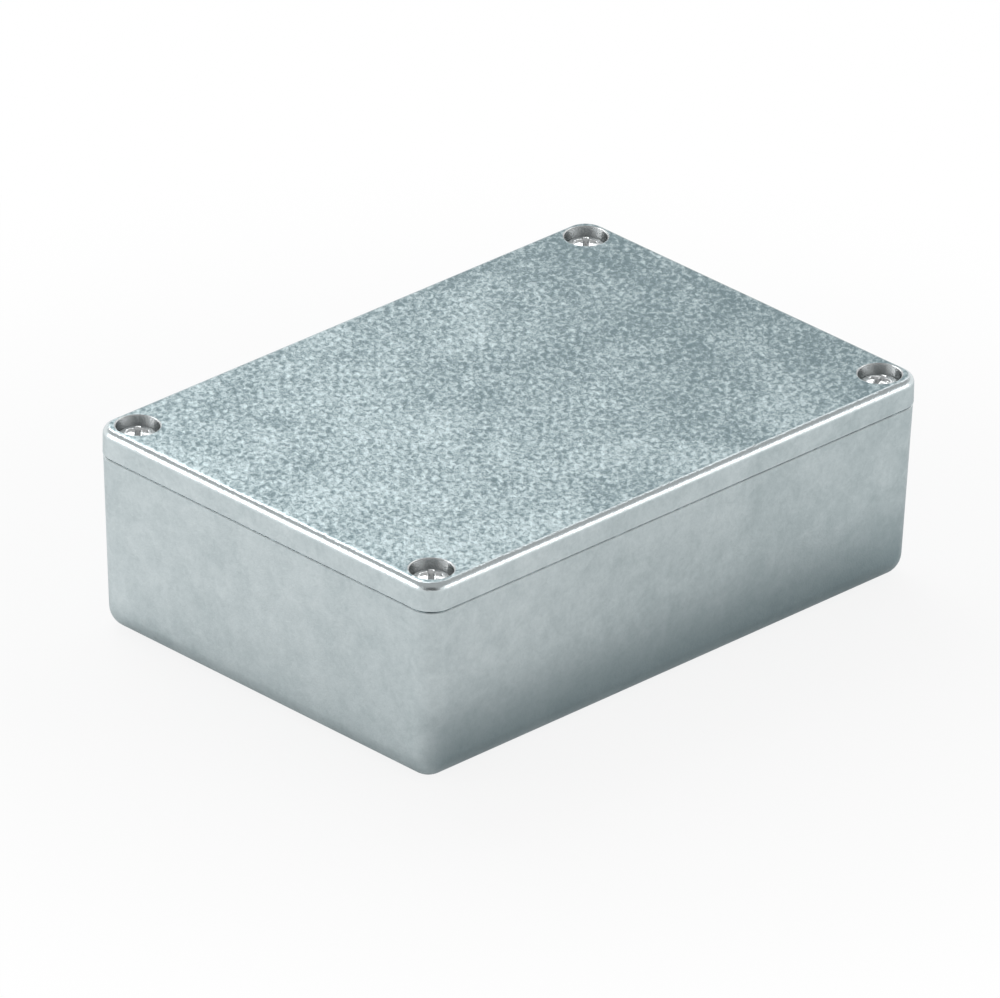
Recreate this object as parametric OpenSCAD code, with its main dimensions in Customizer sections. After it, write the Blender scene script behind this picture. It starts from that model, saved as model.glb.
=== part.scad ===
// Small die cast box: a drafted base casting, a lid casting that drops onto it
// with a locating tongue, and four recessed pan head screws.
// The origin is the middle of the underside. X is the length, Z is up.

/* [Case] */
// Overall length, across the lid
case_length = 80; // [60:1:120]
// Overall width, across the lid
case_width = 56; // [40:1:90]
// Height of the base casting, from the underside to the split line
base_height = 22.3; // [18:0.1:40]
// Radius of the upright corners, and of the rounding round the underside
corner_radius = 2.8; // [2:0.1:5]
// Draft of the walls, inside and outside
draft_angle = 1.7; // [0.5:0.1:3]
// Thickness of the walls
wall = 2; // [1.5:0.1:3]
// Thickness of the floor
floor_thickness = 2; // [1.5:0.1:4]
// Radius of the inside corners, and of the fillet round the floor
inner_radius = 1.6; // [1:0.1:2.5]
// Chamfer on the outer edges at the split line
split_break = 0.1; // [0.05:0.05:0.4]

/* [Lid] */
// Height of the lid's edge above the split line
lid_edge = 3.7; // [3:0.1:6]
// Height of the open line between the two castings' outer edges
line_height = 0.15; // [0.05:0.05:0.4]
// How far the open line runs in
line_depth = 0.4; // [0.2:0.05:0.8]
// Rounding round the lid's top edge
lid_fillet = 1; // [0.5:0.1:1.8]
// How far the lid stands out over the base casting
lid_overhang = 0.07; // [0:0.01:0.3]
// Thickness of the lid's middle
lid_thickness = 2; // [1.5:0.1:3]
// Depth of the tongue below the split line
tongue_depth = 1.2; // [0.6:0.1:3]
// Width of the tongue
tongue_width = 1.2; // [0.8:0.1:2]
// Gap between the tongue and the walls
tongue_gap = 0.2; // [0.15:0.05:0.5]
// Lead-in chamfer round the tongue
tongue_break = 0.3; // [0.1:0.05:0.5]
// Radius of the lid pocket's corners
pocket_radius = 1; // [0.5:0.1:2]

/* [Screws] */
// Distance from the lid's sides to each screw
screw_inset = 3.7; // [3.5:0.1:6]
// Diameter of the screw's shank
screw_d = 2.5; // [2:0.1:3]
// Length of the shank below the head
screw_length = 8; // [6:0.5:14]
// Diameter of the head
head_d = 4.8; // [4.4:0.1:5.4]
// Height of the head
head_height = 2; // [1.6:0.1:2.2]
// Radius of the head's crown
crown_radius = 4.2; // [3.5:0.1:8]
// Rounding between the crown and the head's rim
head_round = 0.5; // [0.2:0.05:0.8]
// Depth of the crown below the lid's face
head_depth = 0.6; // [0.3:0.1:1.4]
// Reach across the cross slots
slot_reach = 2.8; // [2.4:0.1:3.2]
// Width of a cross slot
slot_width = 0.7; // [0.5:0.05:0.9]
// Depth of the cross slots
slot_depth = 1.5; // [1:0.1:1.6]
// Gap all round the head
head_gap = 0.2; // [0.15:0.05:0.5]
// Radial gap round the shank in the lid
shank_gap = 0.2; // [0.15:0.05:0.4]
// Radial gap round the shank in its tapped hole
thread_gap = 0.05; // [0.02:0.01:0.1]
// Wall of the corner boss round the tapped hole
boss_wall = 1.9; // [1.4:0.1:2.5]
// Gap between the boss and the lid's pad over it
boss_gap = 0.1; // [0.05:0.05:0.4]
// Depth of the tapped hole past the screw's end
hole_spare = 1.5; // [0.5:0.1:3]
// Chamfer round the mouth of each recess
recess_break = 0.12; // [0.05:0.01:0.3]
// Countersink round the mouth of each tapped hole
hole_break = 0.25; // [0.1:0.05:0.5]

/* [Ejector pins] */
// Diameter of the marks that the ejector pins leave inside
pin_d = 4; // [3:0.5:8]
// Depth of the pin marks
pin_depth = 0.15; // [0.1:0.05:0.4]
// Distance from the lid's sides to the pin marks
pin_inset = 13; // [10:0.5:20]

/* [Hidden] */
$fn = 64;
// Spare length on cuts that run out of a face
over = 1;
// Rounded corners stand out from their walls by this much, so that the faces cross
lap = 0.002;
lean = tan(draft_angle);
base_length = case_length - 2 * lid_overhang;
base_width = case_width - 2 * lid_overhang;
inner_length = base_length - 2 * wall;
inner_width = base_width - 2 * wall;
lid_radius = corner_radius + lid_overhang;
top = base_height + lid_edge;
seat = top - head_depth - head_height;
hole_d = screw_d + 2 * thread_gap;
boss_r = hole_d / 2 + boss_wall;
boss_top = base_height - tongue_depth - boss_gap;
hole_end = seat - screw_length - hole_spare;
recess_d = head_d + 2 * head_gap;
tongue_length = inner_length - 2 * tongue_gap;
tongue_span = inner_width - 2 * tongue_gap;
tongue_radius = inner_radius - tongue_gap;
screw_x = case_length / 2 - screw_inset;
screw_y = case_width / 2 - screw_inset;
drill_point = 118;
tip_height = screw_d / 8;

// Solid with leaning walls. Its length and width are those at its top. Corners
// and bottom edges share one radius, so each bottom corner is part of a sphere.
module drafted_block(length, width, height, radius) {
    centre_x = length / 2 - (height - radius) * lean - radius / cos(draft_angle);
    centre_y = width / 2 - (height - radius) * lean - radius / cos(draft_angle);
    tilt = atan(lean * sqrt(2));
    intersection() {
        union() {
            leaning_slab(length, width, height, radius, centre_x, centre_y);
            rotate([0, 0, 90])
                leaning_slab(width, length, height, radius, centre_y, centre_x);
            for (turn = [45, 135, 225, 315]) {
                side_x = sign(cos(turn));
                side_y = sign(sin(turn));
                translate([side_x * centre_x, side_y * centre_y, radius])
                    rotate([0, tilt, turn])
                        rotate_extrude()
                            rounded_end(radius + lap, height + over);
            }
        }
        translate([-length, -width, 0])
            cube([2 * length, 2 * width, height]);
    }
}

// Half section of a rod with a ball end, whose centre is at the origin
module rounded_end(radius, height)
    intersection() {
        union() {
            circle(r = radius);
            square([radius, height]);
        }
        translate([0, -radius])
            square([radius, height + radius]);
    }

// The part of a drafted block between its two end walls' corners
module leaning_slab(length, width, height, radius, centre_x, centre_y) {
    touch_x = centre_x + radius * cos(draft_angle);
    touch_z = radius * (1 - sin(draft_angle));
    end_y = width / 2 - radius * cos(draft_angle);
    intersection() {
        rotate([90, 0, 0])
            linear_extrude(2 * width, center = true) {
                for (side = [-1, 1])
                    translate([side * centre_x, radius])
                        circle(r = radius);
                polygon([[-centre_x, 0], [centre_x, 0], [touch_x, touch_z], [length / 2, height],
                    [-length / 2, height], [-touch_x, touch_z]]);
            }
        rotate([90, 0, 90])
            linear_extrude(2 * length, center = true)
                polygon([[-centre_y, 0], [centre_y, 0], [centre_y, touch_z], [end_y, height],
                    [-end_y, height], [-centre_y, touch_z]]);
    }
}

// Upright plate with round corners. The child is the section of its edge: x runs
// out from the corner's centre, y is the height.
module plate(length, width, radius, low, high) {
    for (x = [-1, 1], y = [-1, 1])
        translate([x * (length / 2 - radius), y * (width / 2 - radius), 0])
            rotate_extrude()
                children();
    for (turn = [0, 90]) {
        long = turn == 0 ? length : width;
        deep = turn == 0 ? width : length;
        rotate([90, 0, turn])
            linear_extrude(deep - 2 * radius, center = true) {
                translate([radius - long / 2, low])
                    square([long - 2 * radius, high - low]);
                translate([long / 2 - radius, 0])
                    children();
                mirror([1, 0])
                    translate([long / 2 - radius, 0])
                        children();
            }
    }
}

module straight_plate(length, width, radius, low, high)
    plate(length, width, radius, low, high)
        translate([0, low])
            square([radius, high - low]);

// Tongue under the lid, filled in, with a lead-in chamfer round its lower edge
module tongue() {
    low = base_height - tongue_depth;
    high = base_height + over;
    plate(tongue_length, tongue_span, tongue_radius, low, high)
        polygon([[0, low], [tongue_radius - tongue_break, low], [tongue_radius, low + tongue_break],
            [tongue_radius, high], [0, high]]);
}

module at_screws()
    for (x = [-1, 1], y = [-1, 1])
        translate([x * screw_x, y * screw_y, 0])
            children();

// Round marks of the ejector pins, cut between two heights
module pin_marks(low, high)
    for (x = [-1, 0, 1], y = [-1, 1])
        translate([x * (case_length / 2 - pin_inset), y * (case_width / 2 - pin_inset), low])
            cylinder(h = high - low, d = pin_d);

// Everything that lies under the chamfer at the base casting's rim
module rim_envelope() {
    reach = corner_radius + over;
    low = -over;
    plate(base_length, base_width, corner_radius, low, base_height)
        polygon([[0, low], [reach, low], [reach, base_height - over - split_break],
            [corner_radius - split_break, base_height], [0, base_height]]);
}

module cavity()
    translate([0, 0, floor_thickness])
        drafted_block(inner_length + 2 * over * lean, inner_width + 2 * over * lean,
            base_height - floor_thickness + over, inner_radius);

module tapped_hole() {
    depth = boss_top + over - hole_end;
    translate([0, 0, hole_end])
        cylinder(h = depth, d = hole_d);
    translate([0, 0, hole_end - hole_d / 2 / tan(drill_point / 2)])
        cylinder(h = hole_d / 2 / tan(drill_point / 2), d1 = 0, d2 = hole_d);
    translate([0, 0, boss_top - hole_break])
        cylinder(h = hole_break, d1 = hole_d, d2 = hole_d + 2 * hole_break);
}

module base()
    color([0.66, 0.71, 0.72])
        difference() {
            intersection() {
                drafted_block(base_length, base_width, base_height, corner_radius);
                rim_envelope();
            }
            difference() {
                cavity();
                at_screws()
                    cylinder(h = boss_top, r1 = boss_r + boss_top * lean, r2 = boss_r);
            }
            at_screws()
                tapped_hole();
            pin_marks(floor_thickness - pin_depth, floor_thickness + over);
        }

module lid_block() {
    line_top = base_height + line_height;
    plate(case_length, case_width, lid_radius, base_height, top)
        intersection() {
            union() {
                translate([lid_radius - lid_fillet, top - lid_fillet])
                    circle(r = lid_fillet);
                translate([0, base_height])
                    square([lid_radius, lid_edge - lid_fillet]);
                translate([0, base_height])
                    square([lid_radius - lid_fillet, lid_edge]);
            }
            polygon([[0, base_height], [lid_radius - line_depth, base_height],
                [lid_radius - line_depth, line_top], [lid_radius - split_break, line_top],
                [lid_radius + over, line_top + split_break + over], [lid_radius + over, top + over],
                [0, top + over]]);
        }
}

module lid()
    color([0.62, 0.68, 0.69])
        difference() {
            union() {
                lid_block();
                tongue();
            }
            difference() {
                straight_plate(tongue_length - 2 * tongue_width, tongue_span - 2 * tongue_width,
                    pocket_radius, base_height - tongue_depth - over, top - lid_thickness);
                at_screws()
                    cylinder(h = top, r = boss_r);
            }
            pin_marks(top - lid_thickness - over, top - lid_thickness + pin_depth);
            at_screws() {
                cylinder(h = top, d = screw_d + 2 * shank_gap);
                translate([0, 0, seat])
                    cylinder(h = top, d = recess_d);
                translate([0, 0, top - recess_break])
                    cylinder(h = recess_break + over, d1 = recess_d, d2 = recess_d + 2 * (recess_break + over));
            }
        }

// Half section of the head: a crown that turns over a round shoulder into the rim
module head_section() {
    head_r = head_d / 2;
    crown_z = head_height - crown_radius;
    round_x = head_r - head_round;
    round_z = crown_z + sqrt(pow(crown_radius - head_round, 2) - pow(round_x, 2));
    outside = 2 * head_height;
    intersection() {
        union() {
            intersection() {
                translate([0, crown_z])
                    circle(r = crown_radius, $fn = 128);
                polygon([[0, 0], [head_r, 0], [head_r, round_z], [round_x, round_z],
                    [round_x + outside * round_x / (round_z - crown_z), round_z + outside], [0, round_z + outside]]);
            }
            translate([round_x, round_z])
                circle(r = head_round + lap);
        }
        square([head_r, head_height]);
    }
}

// Pan head screw with a cross recess. Its seat is at height 0.
module screw(turn)
    color([0.8, 0.82, 0.83])
        difference() {
            union() {
                rotate_extrude()
                    head_section();
                translate([0, 0, tip_height - screw_length])
                    cylinder(h = screw_length - tip_height + over, d = screw_d);
                translate([0, 0, -screw_length])
                    cylinder(h = tip_height, d1 = screw_d - 2 * tip_height, d2 = screw_d);
            }
            rotate([0, 0, turn])
                cross_slots();
        }

module cross_slots()
    intersection() {
        translate([0, 0, head_height - slot_depth])
            cylinder(h = slot_depth + over, r1 = slot_width / 2,
                r2 = slot_width / 2 + (slot_reach - slot_width) / 2 * (slot_depth + over) / slot_depth);
        for (turn = [0, 90])
            rotate([0, 0, turn])
                translate([-slot_reach, -slot_width / 2, 0])
                    cube([2 * slot_reach, slot_width, head_height + over]);
    }

module placed_screw(x, y, turn)
    translate([x * screw_x, y * screw_y, seat])
        screw(turn);

base();
lid();
placed_screw(-1, -1, 45);  // screw_front_left
placed_screw(1, -1, 20);  // screw_front_right
placed_screw(-1, 1, 45);  // screw_back_left
placed_screw(1, 1, 45);  // screw_back_right
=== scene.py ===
# %% [markdown]
# # A die cast aluminium box, dressed for a studio table
#
# The box is two castings, a deep base and a shallow lid, held together by four
# small pan head screws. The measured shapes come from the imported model, which
# loads first and is never moved. This file gives them their finishes, cuts the
# threads of the screws and sets up the studio.
#
# Blender works in metres, so a millimetre is written as 1 * MM.

import math

import bmesh
import bpy
from mathutils import Matrix, Vector


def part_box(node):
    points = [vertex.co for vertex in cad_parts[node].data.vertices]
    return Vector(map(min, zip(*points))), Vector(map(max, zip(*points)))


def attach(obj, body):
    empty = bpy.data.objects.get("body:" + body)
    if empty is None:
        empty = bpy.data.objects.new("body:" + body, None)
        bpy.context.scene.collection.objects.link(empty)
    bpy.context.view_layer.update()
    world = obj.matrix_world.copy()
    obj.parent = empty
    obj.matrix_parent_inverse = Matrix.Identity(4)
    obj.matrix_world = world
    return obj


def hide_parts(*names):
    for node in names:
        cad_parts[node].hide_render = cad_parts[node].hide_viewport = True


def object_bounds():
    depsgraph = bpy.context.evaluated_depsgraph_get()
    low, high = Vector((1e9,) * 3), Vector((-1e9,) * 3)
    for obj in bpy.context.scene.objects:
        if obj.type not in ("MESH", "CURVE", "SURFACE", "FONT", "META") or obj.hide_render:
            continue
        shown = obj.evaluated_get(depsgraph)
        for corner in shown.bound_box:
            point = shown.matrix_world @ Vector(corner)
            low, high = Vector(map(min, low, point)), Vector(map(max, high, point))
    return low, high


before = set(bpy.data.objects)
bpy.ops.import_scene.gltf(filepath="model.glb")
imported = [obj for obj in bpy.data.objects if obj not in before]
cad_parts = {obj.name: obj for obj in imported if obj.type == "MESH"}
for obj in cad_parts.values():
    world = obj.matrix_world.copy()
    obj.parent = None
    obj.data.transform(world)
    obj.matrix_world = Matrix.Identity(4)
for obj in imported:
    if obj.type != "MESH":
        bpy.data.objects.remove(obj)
cad_low, cad_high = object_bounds()

MM = 0.001
scene = bpy.context.scene
scene.view_settings.view_transform = "Standard"
print("box of", [round(side / MM, 2) for side in cad_high - cad_low], "mm")

# %% [markdown]
# ## Where things are
#
# Positions are read from the model instead of being typed in again. If the box
# is made longer or taller later, the finishes and the threads follow it.

# %% Read the places of the castings and the screws
lid_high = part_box("lid")[1]
base_low, base_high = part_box("base")
screw_names = sorted(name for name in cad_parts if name.startswith("screw"))
screw_boxes = {name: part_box(name) for name in screw_names}
screw_places = {name: (low + high) / 2 for name, (low, high) in screw_boxes.items()}
screw_x = max(place.x for place in screw_places.values()) / MM
screw_y = max(place.y for place in screw_places.values()) / MM
head_low, head_high = screw_boxes[screw_names[-1]]
head_radius = (head_high.x - head_low.x) / 2 / MM
split_z = base_high.z / MM
top_z = lid_high.z / MM
print("screws stand", round(screw_x, 2), "and", round(screw_y, 2), "mm from the middle")
print("the castings part at", round(split_z, 2), "mm, the lid's face is at", round(top_z, 2), "mm")

# %% [markdown]
# ## The camera
#
# A long lens far away keeps the parallel edges of a small object nearly
# parallel, as in a catalogue picture. The camera is placed by the direction
# that it looks from, so that it can be set by two angles and a distance. A
# small roll leans the picture, as a hand-set tripod does.

# %% Place the camera
view_turn = math.radians(-44.87)
view_rise = math.radians(27.26)
view_roll = math.radians(1.09)
camera_distance = 2.0909
camera_shift = -0.95 * MM

back = Vector(
    (
        math.sin(view_turn) * math.cos(view_rise),
        -math.cos(view_turn) * math.cos(view_rise),
        math.sin(view_rise),
    )
)
level_right = Vector((math.cos(view_turn), math.sin(view_turn), 0))
level_up = back.cross(level_right)
right = level_right * math.cos(view_roll) + level_up * math.sin(view_roll)
up = level_up * math.cos(view_roll) - level_right * math.sin(view_roll)
middle = (cad_low + cad_high) / 2

lens = bpy.data.cameras.new("long_lens")
lens.sensor_width = 36
lens.lens = 648.6
lens.clip_start = 0.1
lens.clip_end = 50
camera = bpy.data.objects.new("camera", lens)
scene.collection.objects.link(camera)
facing = Matrix((right, up, back)).transposed().to_4x4()
camera.matrix_world = Matrix.Translation(middle + back * camera_distance + right * camera_shift) @ facing
scene.camera = camera
print("camera at", [round(c, 3) for c in camera.matrix_world.translation])

# %% [markdown]
# ## A short way to write shader graphs
#
# A finish is a graph of nodes. Adding and linking nodes one by one hides the
# idea behind a page of links, so this small class lets a graph be written as
# sums: every call takes numbers or sockets and gives back a socket.

# %% Write the graph helper
class Graph:
    def __init__(self, tree):
        self.tree = tree

    def add(self, kind, settings=None, inputs=None):
        made = self.tree.nodes.new("ShaderNode" + kind)
        for name, value in (settings or {}).items():
            setattr(made, name, value)
        for name, value in (inputs or {}).items():
            self.feed(made.inputs[name], value)
        return made

    def feed(self, socket, value):
        if isinstance(value, bpy.types.NodeSocket):
            self.tree.links.new(value, socket)
        else:
            socket.default_value = value

    def calc(self, operation, first, second=0.0):
        return self.add("Math", {"operation": operation}, {0: first, 1: second}).outputs[0]

    def step(self, value, low, high, to_low=0.0, to_high=1.0):
        sockets = {"Value": value, "From Min": low, "From Max": high, "To Min": to_low, "To Max": to_high}
        return self.add("MapRange", {"interpolation_type": "SMOOTHSTEP"}, sockets).outputs[0]

    def blend(self, share, first, second):
        sockets = {0: share, 6: first, 7: second}
        return self.add("Mix", {"data_type": "RGBA"}, sockets).outputs[2]

    def fade(self, share, first, second):
        return self.add("Mix", {"data_type": "FLOAT"}, {0: share, 2: first, 3: second}).outputs[0]

    def noise(self, place, size, detail=2.0, rough=0.5, warp=0.0):
        sockets = {"Vector": place, "Scale": 1 / size, "Detail": detail, "Roughness": rough, "Distortion": warp}
        return self.calc("SUBTRACT", self.add("TexNoise", None, sockets).outputs["Fac"], 0.5)


def new_finish(name):
    finish = bpy.data.materials.new(name)
    finish.use_nodes = True
    return finish, Graph(finish.node_tree), finish.node_tree.nodes["Principled BSDF"]


print("graph helper ready")

# %% [markdown]
# ## Places on the metal, in millimetres
#
# Each finish needs to know where it is: how far up, how far from a screw, and
# which way the surface faces. Object coordinates never slide, because every
# piece has its place in its mesh. A Mapping node turns them into millimetres.

# %% Measure places inside a graph
class Places:
    def __init__(self, graph):
        where = graph.add("TexCoord")
        self.point = graph.add(
            "Mapping", {"vector_type": "TEXTURE"}, {"Vector": where.outputs["Object"], "Scale": (MM, MM, MM)}
        ).outputs[0]
        axes = graph.add("SeparateXYZ", None, {0: self.point}).outputs
        self.x, self.y, self.z = axes
        facing = graph.add("SeparateXYZ", None, {0: where.outputs["Normal"]}).outputs
        self.facing_up = facing["Z"]
        self.long_side = graph.calc("POWER", graph.calc("ABSOLUTE", facing["Y"]), 2)
        away_x = graph.calc("SUBTRACT", graph.calc("ABSOLUTE", self.x), screw_x)
        away_y = graph.calc("SUBTRACT", graph.calc("ABSOLUTE", self.y), screw_y)
        squares = graph.calc("ADD", graph.calc("POWER", away_x, 2), graph.calc("POWER", away_y, 2))
        self.from_screw = graph.calc("SQRT", squares)
        self.object = where.outputs["Object"]


print("places ready")

# %% [markdown]
# ## The bare castings
#
# Small die castings are tumbled with ceramic stones to knock off the flash.
# The stones leave a salt and pepper grain on open flats, slide over the walls
# with hardly a mark, and polish the edges. The grain is a noise in the volume
# of the metal, so it needs no unwrapping and meets cleanly round corners.
# Light and shade are painted into the colour as well: the walls get a lighter
# copy of the metal colours than the open flats, the colour darkens towards +x
# and towards the foot of the walls, and the edges and the lid's lip get a
# painted highlight on top of their real polish.
#
# The same graph serves both castings. Only the cut places differ: the lid has
# its four spot-faced recesses, the base its four tapped holes.

# %% Choose the colours of the metal
# The darkest colour is the dark end of the grain and also the painted shade at the foot of the walls.
DARK_GRAIN_AND_SHADE = (0.170, 0.235, 0.255, 1)
PALE = (0.600, 0.700, 0.720, 1)
# The rubbed colour lightens the edges: partly real polish, partly painted highlight.
RUBBED_AND_HIGHLIGHT = (0.700, 0.760, 0.775, 1)
CUT = (0.720, 0.750, 0.755, 1)
# The wall colours are a lighter, lit copy of the flats' colours: painted light on the walls, while the flats'
# pair above is the darker, painted shade copy.
LIT_SIDE_DARK = (0.360, 0.440, 0.455, 1)
LIT_SIDE_PALE = (0.800, 0.870, 0.885, 1)


# %% Choose the sizes of the marks, in millimetres
GRAIN = {"size": 0.62, "detail": 3.0, "rough": 0.55, "warp": 0.5}
SPECKLE = {"size": 0.22, "detail": 1.0}
PATCHES = {"size": 3.2, "detail": 3.0, "rough": 0.6, "warp": 0.6}
CLOUDS = {"size": 15.0, "detail": 3.0, "warp": 0.9}
slide_stretch = 1.35
recess_margin = 0.35
hole_radius = 1.7
tool_ring_pitch = 0.11
relief_depth = 0.09


# %% Build the grain, the speckle, the patches and the clouds
def casting_tones(graph, places):
    slide = graph.add(
        "Mapping",
        {"vector_type": "TEXTURE"},
        {"Vector": places.object, "Rotation": (0, 0, math.radians(45)), "Scale": (slide_stretch * MM, MM, MM)},
    ).outputs[0]
    grain = graph.noise(slide, **GRAIN)
    speckle = graph.noise(slide, **SPECKLE)
    patches = graph.noise(places.point, **PATCHES)
    clouds = graph.noise(places.point, **CLOUDS)
    return grain, speckle, patches, clouds


def weigh(graph, *pairs):
    total = 0.0
    for value, weight in pairs:
        part = graph.calc("MULTIPLY", value, weight)
        total = part if isinstance(total, float) else graph.calc("ADD", total, part)
    return total


print("tones ready")


# %% Put the casting finish together
def casting_finish(name, is_lid):
    finish, graph, skin = new_finish(name)
    places = Places(graph)
    grain, speckle, patches, clouds = casting_tones(graph, places)

    open_flat = graph.step(places.facing_up, 0.8, 0.98)
    grain_share = graph.step(open_flat, 0, 1, 0.32, 2.3)
    speckle_share = graph.step(open_flat, 0, 1, 0.12, 0.6)
    cloud_share = graph.step(open_flat, 0, 1, 0.3, 0.75)
    tone = weigh(
        graph,
        (grain, grain_share),
        (speckle, speckle_share),
        (patches, 0.45),
        (clouds, cloud_share),
        # The x term darkens the whole casting towards +x: painted shade, a gradient of light laid into the
        # colour.
        (places.x, -0.003),
    )
    # Open flats take the darker copy and walls the lighter copy of the same metal: painted light and shade,
    # mixed with the grain.
    shaded_flat_colour = graph.blend(graph.step(tone, -0.5, 0.75), DARK_GRAIN_AND_SHADE, PALE)
    lit_side_colour = graph.blend(graph.step(tone, -0.62, 0.62), LIT_SIDE_DARK, LIT_SIDE_PALE)
    colour = graph.blend(open_flat, lit_side_colour, shaded_flat_colour)

    # The foot of the walls is painted darker, most on the long sides: painted shade, standing in for the box's
    # shadow on the floor seen in reflection.
    long_side_foot_shade = graph.calc("MULTIPLY", graph.step(places.z, 0.5, 14.0, 0.75, 0.0), places.long_side)
    painted_foot_shade = graph.calc("MAXIMUM", long_side_foot_shade, graph.step(places.z, 0.5, 5.0, 0.3, 0.0))
    colour = graph.blend(painted_foot_shade, colour, DARK_GRAIN_AND_SHADE)

    # Fillets and chamfers, and on the lid the lip just above the split, are lightened: the lower roughness and
    # part of the lightening are real polish, the rest is a painted highlight.
    above_flat = graph.step(places.facing_up, 0.06, 0.3)
    below_flat = graph.step(places.facing_up, 0.93, 0.99, 1.0, 0.0)
    rubbed_and_highlight = graph.calc("MULTIPLY", above_flat, below_flat)
    if is_lid:
        lip = graph.step(places.z, split_z + 0.1, split_z + 0.45, 0.5, 0.0)
        rubbed_and_highlight = graph.calc("MAXIMUM", rubbed_and_highlight, lip)
    colour = graph.blend(graph.calc("MULTIPLY", rubbed_and_highlight, 0.8), colour, RUBBED_AND_HIGHLIGHT)
    rough = graph.fade(rubbed_and_highlight, graph.step(tone, -0.6, 0.6, 0.50, 0.38), 0.24)

    cut_radius = head_radius + recess_margin if is_lid else hole_radius
    cut = graph.calc("LESS_THAN", places.from_screw, cut_radius)
    if is_lid:
        cut = graph.calc("MULTIPLY", cut, graph.calc("GREATER_THAN", places.z, split_z))
    colour = graph.blend(cut, colour, CUT)
    rough = graph.fade(cut, rough, 0.22)

    rings = graph.calc("SINE", graph.calc("MULTIPLY", places.z, math.tau / tool_ring_pitch))
    relief = weigh(graph, (grain, graph.step(open_flat, 0, 1, 0.25, 1.0)), (speckle, 0.3), (patches, 0.5))
    relief = graph.fade(cut, relief, graph.calc("MULTIPLY", rings, 0.12))
    dents = graph.add("Bump", None, {"Height": relief, "Distance": relief_depth * MM, "Strength": 0.8})

    graph.feed(skin.inputs["Base Color"], colour)
    graph.feed(skin.inputs["Roughness"], rough)
    graph.feed(skin.inputs["Normal"], dents.outputs[0])
    skin.inputs["Metallic"].default_value = 1.0
    return finish


for node_name, is_lid in (("lid", True), ("base", False)):
    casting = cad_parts[node_name]
    casting.material_slots[0].material = casting_finish("tumbled_" + node_name, is_lid)
    print(node_name, "finished")

# %% [markdown]
# ## The bright plating of the screws
#
# The screws are nickel plated steel. The plating is smooth enough to mirror
# the room, with a faint haze and fine handling marks, which a noise in the
# colour, the roughness and a bump gives without any drawing.

# %% Make the plating
plating, graph, skin = new_finish("bright_plating")
places = Places(graph)
haze = graph.noise(places.point, 0.7, 3.0, 0.6)
shine = graph.blend(graph.step(haze, -0.3, 0.3), (0.62, 0.65, 0.66, 1), (0.86, 0.88, 0.88, 1))
graph.feed(skin.inputs["Base Color"], shine)
graph.feed(skin.inputs["Roughness"], graph.step(haze, -0.3, 0.3, 0.24, 0.10))
wear = graph.add("Bump", None, {"Height": haze, "Distance": 0.02 * MM, "Strength": 0.5})
graph.feed(skin.inputs["Normal"], wear.outputs[0])
skin.inputs["Metallic"].default_value = 1.0
print("plating ready")

# %% [markdown]
# ## The threads of the screws
#
# The measured screws have the right head and length, with a plain shank. The
# real shank is threaded, which shows as soon as a screw is lifted out. A
# thread could be drawn with a bump, but it is a real shape, so it is made as
# one: a tooth outline is spun round the axis while it climbs. The spin
# operator does that when each step is also given a small rise. Turns that
# meet are merged, and two flat cuts trim the ends.

# %% Cut a mesh with a flat plane and close it
def trim(piece, height, keep_above):
    everything = piece.verts[:] + piece.edges[:] + piece.faces[:]
    cut = bmesh.ops.bisect_plane(
        piece,
        geom=everything,
        dist=1e-7,
        plane_co=(0, 0, height),
        plane_no=(0, 0, 1),
        clear_inner=keep_above,
        clear_outer=not keep_above,
    )
    rim = [item for item in cut["geom_cut"] if isinstance(item, bmesh.types.BMEdge)]
    bmesh.ops.contextual_create(piece, geom=rim)


print("trimming ready")

# %% Spin a thread
thread_pitch = 0.45 * MM
thread_depth = 0.27 * MM
shank_radius = 1.25 * MM
steps_per_turn = 32
tooth = ((0.0, 0.0), (0.06, 0.0), (0.42, 1.0), (0.52, 1.0), (0.88, 0.0), (1.0, 0.0))


def spin_thread(low, high):
    thread = bmesh.new()
    start = low - 1.5 * thread_pitch
    outline = []
    for rise, out in tooth:
        reach = shank_radius - thread_depth * (1 - out)
        outline.append(thread.verts.new((reach, 0, start + rise * thread_pitch)))
    edges = [thread.edges.new(pair) for pair in zip(outline, outline[1:])]
    turns = math.ceil((high - start) / thread_pitch) + 1
    bmesh.ops.spin(
        thread,
        geom=outline + edges,
        cent=(0, 0, 0),
        axis=(0, 0, 1),
        dvec=(0, 0, thread_pitch / steps_per_turn),
        angle=math.tau * turns,
        steps=steps_per_turn * turns,
    )
    bmesh.ops.remove_doubles(thread, verts=thread.verts, dist=0.004 * MM)
    trim(thread, low, True)
    trim(thread, high, False)
    return thread


# %% Join each thread to the head of its screw
neck_below_crown = 2.3 * MM
taper_height = 0.5 * MM
taper_share = 0.28


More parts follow.
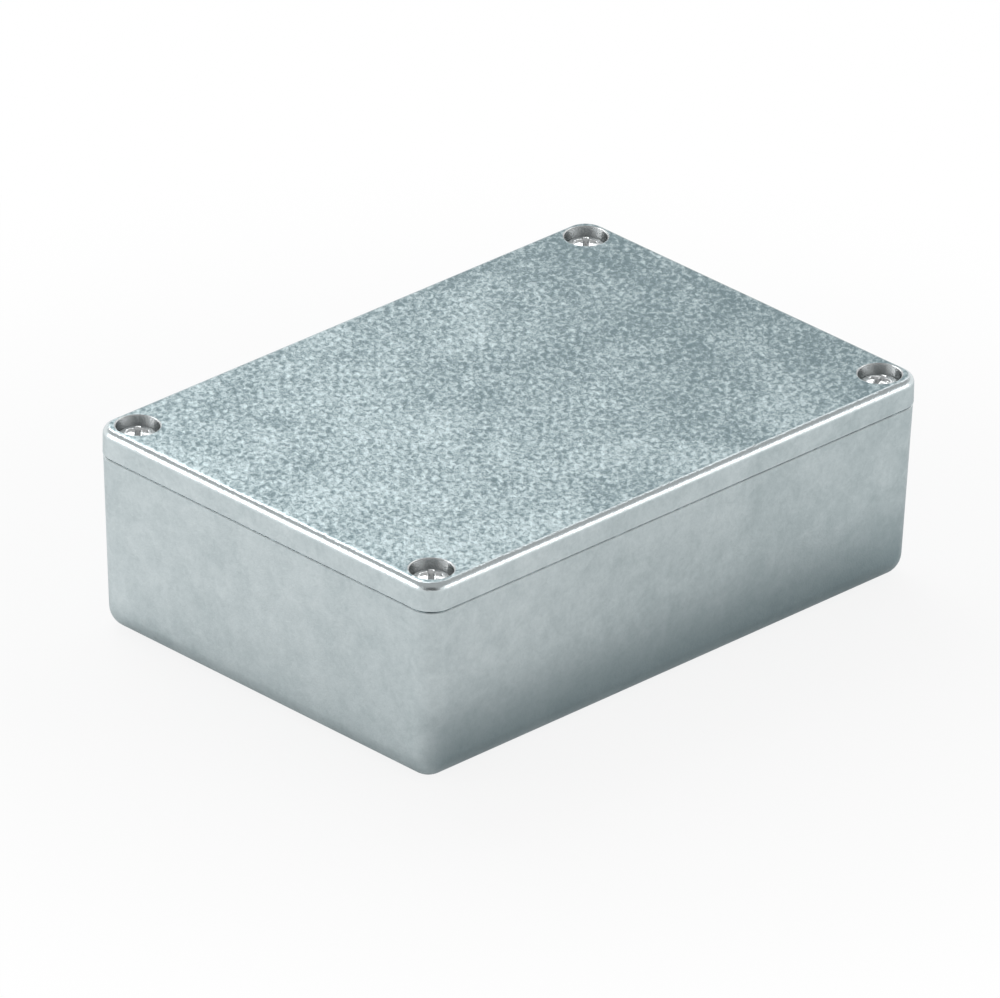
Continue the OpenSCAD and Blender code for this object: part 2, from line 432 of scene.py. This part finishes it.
def threaded_screw(name):
    low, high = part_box(name)
    neck = high.z - neck_below_crown
    screw = spin_thread(low.z, neck + 0.05 * MM)
    for vert in screw.verts:
        rise = min(1.0, (vert.co.z - low.z) / taper_height)
        squeeze = 1 - taper_share * (1 - rise)
        vert.co.x *= squeeze
        vert.co.y *= squeeze
    place = screw_places[name]
    bmesh.ops.translate(screw, verts=screw.verts, vec=(place.x, place.y, 0))

    head = bmesh.new()
    head.from_mesh(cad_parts[name].data)
    bmesh.ops.remove_doubles(head, verts=head.verts, dist=0.002 * MM)
    trim(head, neck, True)
    head_mesh = bpy.data.meshes.new("head")
    head.to_mesh(head_mesh)
    head.free()

    screw.from_mesh(head_mesh)
    bmesh.ops.recalc_face_normals(screw, faces=screw.faces)
    mesh = bpy.data.meshes.new(name + "_threaded")
    screw.to_mesh(mesh)
    open_edges = sum(1 for edge in screw.edges if not edge.is_manifold)
    print(name, "has", len(screw.faces), "faces and", open_edges, "open edges")
    screw.free()
    mesh.shade_smooth()
    mesh.set_sharp_from_angle(angle=math.radians(32))
    mesh.materials.append(plating)
    piece = bpy.data.objects.new(name + "_threaded", mesh)
    scene.collection.objects.link(piece)
    return piece


for name in screw_names:
    piece = threaded_screw(name)
    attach(piece, name)
    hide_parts(name)

# %% [markdown]
# ## The room
#
# Bare metal shows whatever stands round it. A white sweep at table height, a
# dimmer ceiling and the dark side of the room behind the camera give it the
# contrast that an all-white room would take away. What the camera sees of
# the world is plain white.

# %% Make the room
world = bpy.data.worlds.new("room")
world.use_nodes = True
scene.world = world
graph = Graph(world.node_tree)
rays = graph.add("LightPath").outputs
direction = graph.add("TexCoord").outputs["Generated"]
rise = graph.add("SeparateXYZ", None, {0: direction}).outputs["Z"]
camera_side = Vector((back.x, back.y, 0)).normalized()
towards = graph.add("VectorMath", {"operation": "DOT_PRODUCT"}, {0: direction, 1: camera_side}).outputs["Value"]
sweep = graph.step(rise, 0.25, 0.62, 1.0, 0.45)
dark_side = graph.step(towards, 0.60, 0.92, 1.0, 0.12)
mirrored = graph.calc("MAXIMUM", rays["Is Glossy Ray"], rays["Is Transmission Ray"])
light = graph.fade(mirrored, 0.55, graph.calc("MULTIPLY", sweep, dark_side))
light = graph.fade(rays["Is Camera Ray"], light, 1.0)
backdrop = world.node_tree.nodes["Background"]
graph.feed(backdrop.inputs["Color"], (1, 1, 1, 1))
graph.feed(backdrop.inputs["Strength"], light)
print("room ready")


# %% Hang the soft boxes
def soft_box(name, direction, distance, width, height, brightness):
    lamp = bpy.data.lights.new(name, "AREA")
    lamp.shape = "RECTANGLE"
    lamp.size = width
    lamp.size_y = height
    lamp.energy = brightness * math.pi * width * height
    hung = bpy.data.objects.new(name, lamp)
    scene.collection.objects.link(hung)
    ray = Vector(direction).normalized()
    aim = ray.to_track_quat("Z", "Y").to_matrix().to_4x4()
    hung.matrix_world = Matrix.Translation(middle + ray * distance) @ aim
    print(name, "gives", round(lamp.energy, 2), "W")


soft_box("box_behind", (0.24, 0.62, 0.75), 0.8, 0.46, 0.46, 2.6)
soft_box("box_beyond", (0.70, 0.26, 0.70), 0.9, 0.34, 0.34, 1.3)
soft_box("box_left", (-0.78, 0.60, 0.20), 0.8, 0.55, 0.42, 1.7)
soft_box("box_right", (0.62, -0.76, 0.22), 0.9, 0.55, 0.36, 1.1)

# %% [markdown]
# ## The floor
#
# The floor is a pale disc just under the box. Near the box it is a real matt
# surface, so it keeps the soft shadow, and further out it turns into the same
# plain white as the room, so no edge of it is ever seen. From below it is
# clear, so that the underside can be looked at.

# %% Make the floor
disc = bmesh.new()
bmesh.ops.create_circle(disc, cap_ends=True, segments=96, radius=6)
bmesh.ops.translate(disc, verts=disc.verts, vec=(0, 0, base_low.z - 0.02 * MM))
floor_mesh = bpy.data.meshes.new("floor")
disc.to_mesh(floor_mesh)
disc.free()
floor = bpy.data.objects.new("floor", floor_mesh)
scene.collection.objects.link(floor)

pale_table, graph, skin = new_finish("pale_table")
graph.tree.nodes.remove(skin)
where = graph.add("TexCoord").outputs["Object"]
spread = graph.add("VectorMath", {"operation": "LENGTH"}, {0: where}).outputs["Value"]
rays = graph.add("LightPath").outputs
seen_white = graph.step(spread, 0.05, 0.12, 0.86, 1.0)
mirrored_white = graph.step(spread, 0.05, 0.22, 0.15, 1.0)
mirrored = graph.calc("MAXIMUM", rays["Is Glossy Ray"], rays["Is Transmission Ray"])
white = graph.calc("MULTIPLY", mirrored, mirrored_white)
white = graph.fade(rays["Is Camera Ray"], white, seen_white)
matt = graph.add("BsdfDiffuse", None, {"Color": (0.88, 0.88, 0.88, 1)})
glow = graph.add("Emission", None, {"Color": (1, 1, 1, 1), "Strength": 1.0})
clear = graph.add("BsdfTransparent")
above = graph.add("MixShader", None, {0: white, 1: matt.outputs[0], 2: glow.outputs[0]})
below = graph.add("NewGeometry").outputs["Backfacing"]
surface = graph.add("MixShader", None, {0: below, 1: above.outputs[0], 2: clear.outputs[0]})
graph.feed(graph.tree.nodes["Material Output"].inputs["Surface"], surface.outputs[0])
floor_mesh.materials.append(pale_table)
print("floor ready")
